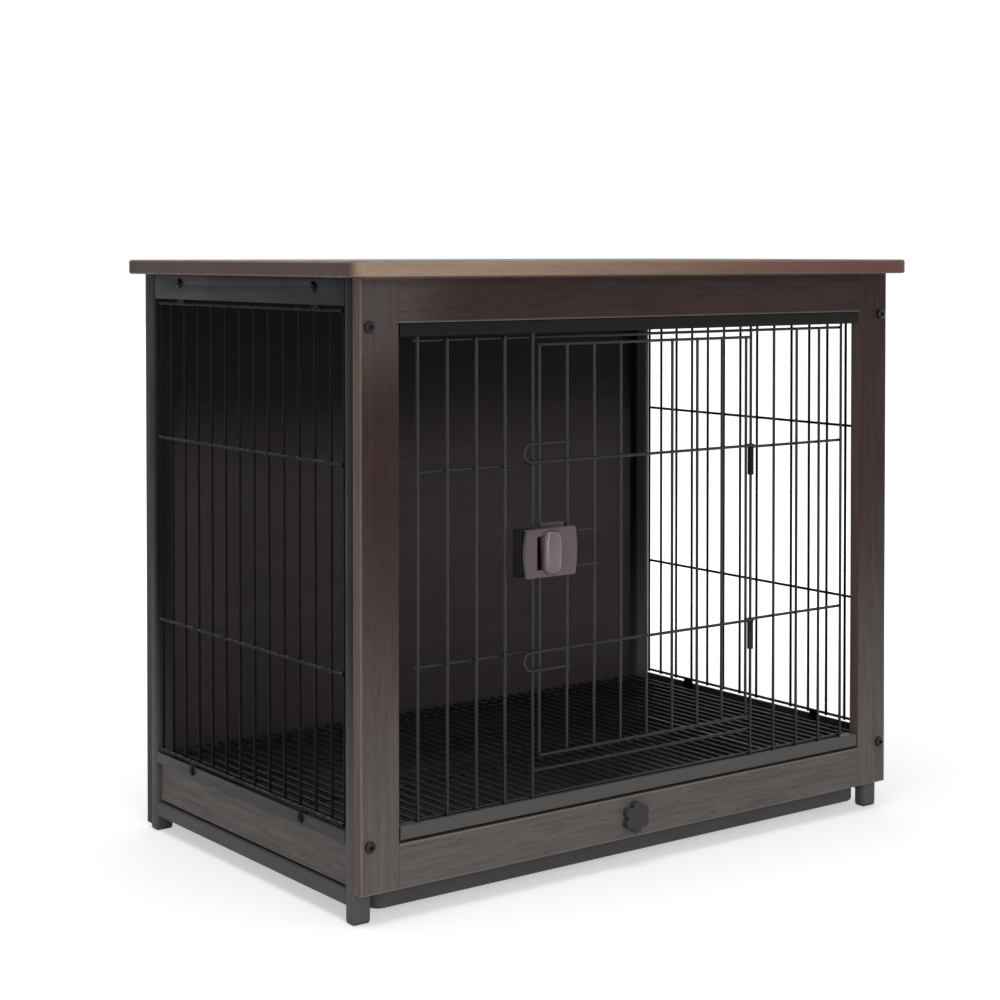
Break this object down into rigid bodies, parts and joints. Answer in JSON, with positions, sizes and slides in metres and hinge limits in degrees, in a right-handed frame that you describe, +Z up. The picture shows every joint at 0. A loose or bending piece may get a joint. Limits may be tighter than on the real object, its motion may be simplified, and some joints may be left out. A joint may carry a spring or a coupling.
{
  "type": "pet crate",
  "caption": "Furniture-style pet crate: wooden top, front frame and back on steel side frames, with wire sides, a hinged wire door with a sliding latch, a slatted floor and a pull-out tray.",
  "frame": {"origin": "on the floor, under the middle of the top board", "axes": "+X to the crate's right as seen from the front, +Y to the back, +Z up"},
  "size_m": [0.732, 0.443, 0.61],
  "materials": {
    "top_wood": "dark brown rustic grain, satin",
    "front_wood": "dark grey-brown rustic grain, satin",
    "back_wood": "dark brown grain, satin",
    "dowel_wood": "raw beech",
    "black_steel": "black powder coat, semi-gloss",
    "black_wire": "black coated wire, glossy",
    "black_plastic": "moulded, fine texture",
    "mauve_plastic": "moulded, satin",
    "tray_plastic": "formed sheet, satin",
    "dark_steel": "black oxide"
  },
  "bodies": {
    "crate": {"top_board": "top_wood", "front_left_stile": "front_wood", "front_right_stile": "front_wood", "front_top_rail": "front_wood", "front_bottom_rail": "front_wood", "back_panel": "back_wood", "left_lower_panel": "front_wood", "right_lower_panel": "front_wood", "rail_dowels": "dowel_wood", "front_left_post": "black_steel", "front_right_post": "black_steel", "rear_left_post": "black_steel", "rear_right_post": "black_steel", "front_left_foot": "black_plastic", "front_right_foot": "black_plastic", "rear_left_foot": "black_plastic", "rear_right_foot": "black_plastic", "left_top_angle": "black_steel", "right_top_angle": "black_steel", "left_middle_angle": "black_steel", "right_middle_angle": "black_steel", "left_lower_tube": "black_steel", "right_lower_tube": "black_steel", "left_wire_panel": "black_wire", "right_wire_panel": "black_wire", "front_top_bar": "black_steel", "front_bottom_bar": "black_steel", "front_bar_straps": "black_steel", "front_wire_panel": "black_wire", "left_tray_runner": "black_steel", "right_tray_runner": "black_steel", "front_grate_ledge": "black_steel", "rear_grate_ledge": "black_steel", "upper_hinge_sleeve": "black_plastic", "lower_hinge_sleeve": "black_plastic", "latch_keeper": "black_plastic", "front_frame_bolts": "dark_steel", "front_frame_nuts": "dark_steel", "side_panel_screws": "dark_steel", "side_panel_nuts": "dark_steel", "top_board_screws": "dark_steel", "lower_panel_screws": "dark_steel", "back_panel_screws": "dark_steel"},
    "door": {"door_wire_frame": "black_wire", "latch_front_plate": "mauve_plastic", "latch_back_plate": "mauve_plastic", "latch_screws": "dark_steel"},
    "latch_slider": {"latch_grip": "mauve_plastic", "latch_bolt": "black_plastic"},
    "tray": {"tray": "tray_plastic"},
    "floor_grate": {"floor_grate": "black_wire"},
    "tray_knob": {"star_knob": "black_plastic", "knob_stud": "dark_steel", "tray_catch": "dark_steel", "knob_nut": "dark_steel"}
  },
  "joints": [
    {"name": "door_swing", "type": "hinge", "parent": "crate", "child": "door", "pos_m": [0.145, -0.1965, 0.304], "axis": [0, 0, 1], "range_deg": [0, 150]},
    {"name": "latch_slide", "type": "slide", "parent": "door", "child": "latch_slider", "axis": [-1, 0, 0], "range_m": [0, 0.0064]},
    {"name": "tray_slide", "type": "slide", "parent": "crate", "child": "tray", "axis": [0, -1, 0], "range_m": [0, 0.36]},
    {"name": "grate_lift", "type": "slide", "parent": "crate", "child": "floor_grate", "axis": [0, 0, 1], "range_m": [0, 0.15]},
    {"name": "knob_turn", "type": "hinge", "parent": "crate", "child": "tray_knob", "pos_m": [-0.02, -0.195, 0.051], "axis": [0, 1, 0], "range_deg": [0, 90]}
  ]
}
